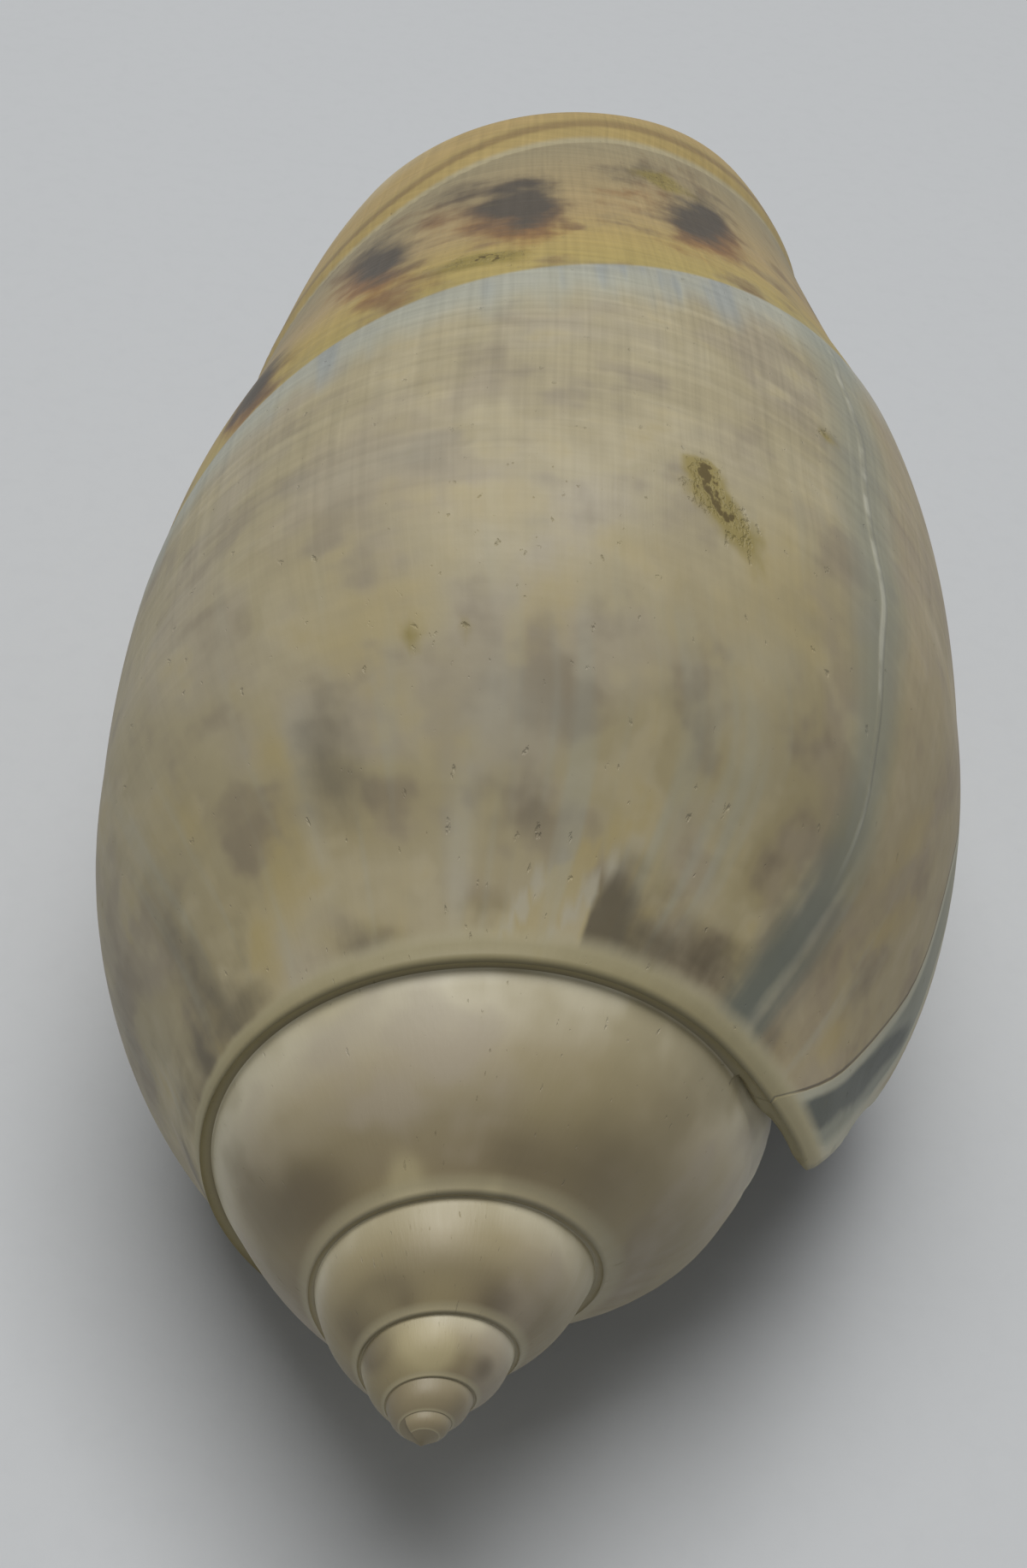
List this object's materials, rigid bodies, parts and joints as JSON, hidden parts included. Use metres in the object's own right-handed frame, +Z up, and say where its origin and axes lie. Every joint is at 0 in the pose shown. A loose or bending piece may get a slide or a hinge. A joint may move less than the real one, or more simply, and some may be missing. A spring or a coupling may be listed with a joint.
{
  "type": "olive shell",
  "caption": "Olive shell, a glossy mottled sea snail shell with a low callused spire, lying on its mouth.",
  "frame": {"origin": "middle of the shell's box, on the surface that it lies on", "axes": "+Y along the shell's axis towards the siphonal notch, -Y towards the spire, +X towards the outer lip, +Z up through the back"},
  "size_m": [0.0282, 0.0604, 0.0291],
  "materials": {
    "shell": "polished"
  },
  "bodies": {
    "root": {"olive_shell": "shell"}
  },
  "joints": []
}
